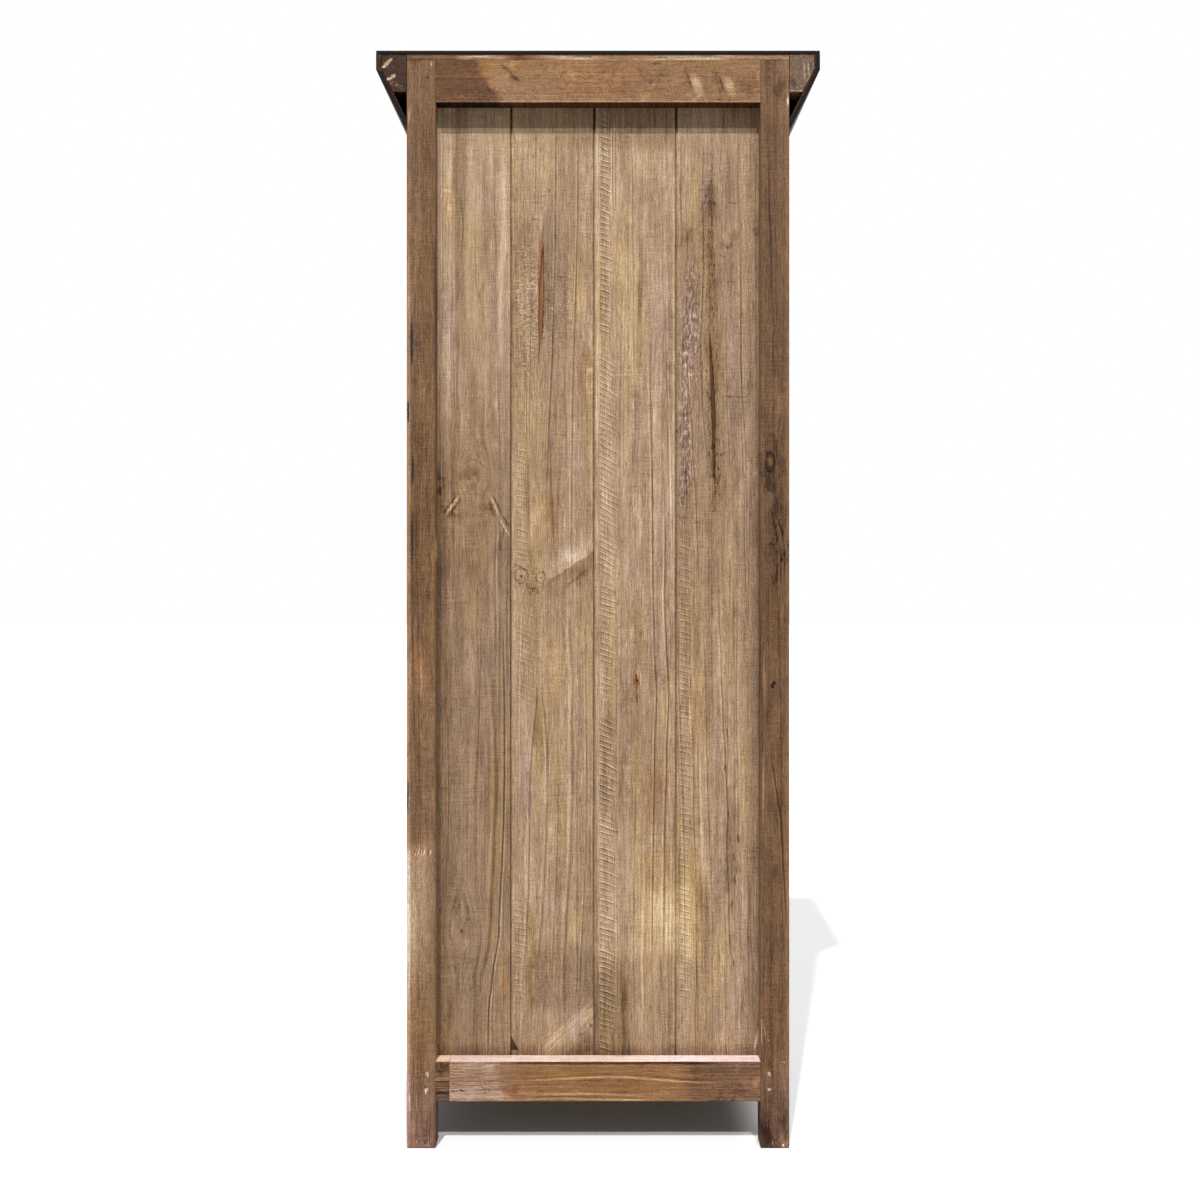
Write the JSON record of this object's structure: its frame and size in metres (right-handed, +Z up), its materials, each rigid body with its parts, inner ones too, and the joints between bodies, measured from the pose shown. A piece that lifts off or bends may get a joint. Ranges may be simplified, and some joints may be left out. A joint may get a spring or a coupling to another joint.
{
  "type": "storage cabinet",
  "caption": "Tall wooden storage cabinet on four square feet, with a pair of panelled doors, inner shelves, a boarded back and a sloping crown.",
  "frame": {"origin": "on the floor, under the middle of the cabinet's plan", "axes": "front faces -Y, +X is the right-hand side seen from the front, +Z up"},
  "size_m": [0.74, 0.456, 1.83],
  "materials": {
    "brown_stained_pine": "walnut-brown stained softwood, satin, worn",
    "washed_pine_boards": "pale washed softwood, rough sawn, matt",
    "rough_offcut_pine": "rough offcuts with end grain and torn edges",
    "bare_pine": "planed softwood with a thin clear coat",
    "black_painted_wood": "charcoal-black paint, satin, rubbed through at the edges",
    "blackened_iron": "blackened iron, dull",
    "zinc_plated_screw": "zinc-plated steel, slightly dulled",
    "steel_nail": "plain steel, dulled",
    "steel_plate": "plated sheet steel",
    "brown_plastic": "moulded plastic round a dark magnet"
  },
  "bodies": {
    "carcass": {"back_board_1": "washed_pine_boards", "back_board_2": "washed_pine_boards", "back_board_3": "washed_pine_boards", "back_board_4": "washed_pine_boards", "back_board_nails": "steel_nail", "back_bottom_rail": "brown_stained_pine", "back_rail_nails": "steel_nail", "back_rail_packing_blocks": "brown_stained_pine", "back_top_rail": "brown_stained_pine", "carcass_screws": "zinc_plated_screw", "crown_blocks": "rough_offcut_pine", "crown_front": "black_painted_wood", "crown_left": "black_painted_wood", "crown_right": "black_painted_wood", "floor_board": "bare_pine", "front_bottom_rail": "black_painted_wood", "front_left_post": "black_painted_wood", "front_right_post": "black_painted_wood", "front_top_rail": "black_painted_wood", "hinge_pins": "blackened_iron", "hinge_post_leaves": "blackened_iron", "magnetic_catches": "brown_plastic", "rear_left_post": "brown_stained_pine", "rear_right_post": "brown_stained_pine", "shelf_1": "bare_pine", "shelf_2": "bare_pine", "shelf_3": "bare_pine", "shelf_4": "bare_pine", "shelf_cleats": "bare_pine", "side_boards_left": "black_painted_wood", "side_boards_right": "black_painted_wood", "side_bottom_rail_left": "black_painted_wood", "side_bottom_rail_right": "black_painted_wood", "side_top_rail_left": "black_painted_wood", "side_top_rail_right": "black_painted_wood", "top_board": "brown_stained_pine", "top_cover": "black_painted_wood"},
    "left_door": {"left_door_bottom_rail": "black_painted_wood", "left_door_hinge_leaves": "blackened_iron", "left_door_hinge_stile": "black_painted_wood", "left_door_knob": "blackened_iron", "left_door_lock_rail": "black_painted_wood", "left_door_lower_panel": "black_painted_wood", "left_door_meeting_stile": "black_painted_wood", "left_door_screws": "zinc_plated_screw", "left_door_strike_plate": "steel_plate", "left_door_top_rail": "black_painted_wood", "left_door_upper_panel": "black_painted_wood"},
    "right_door": {"right_door_bottom_rail": "black_painted_wood", "right_door_hinge_leaves": "blackened_iron", "right_door_hinge_stile": "black_painted_wood", "right_door_knob": "blackened_iron", "right_door_lock_rail": "black_painted_wood", "right_door_lower_panel": "black_painted_wood", "right_door_meeting_stile": "black_painted_wood", "right_door_screws": "zinc_plated_screw", "right_door_strike_plate": "steel_plate", "right_door_top_rail": "black_painted_wood", "right_door_upper_panel": "black_painted_wood"}
  },
  "joints": [
    {"name": "right_door_hinge", "type": "hinge", "parent": "carcass", "child": "right_door", "pos_m": [0.27, -0.1813, 0.9], "axis": [0, 0, 1], "range_deg": [0, 175]},
    {"name": "left_door_hinge", "type": "hinge", "parent": "carcass", "child": "left_door", "pos_m": [-0.27, -0.1813, 0.9], "axis": [0, 0, -1], "range_deg": [0, 175]}
  ]
}
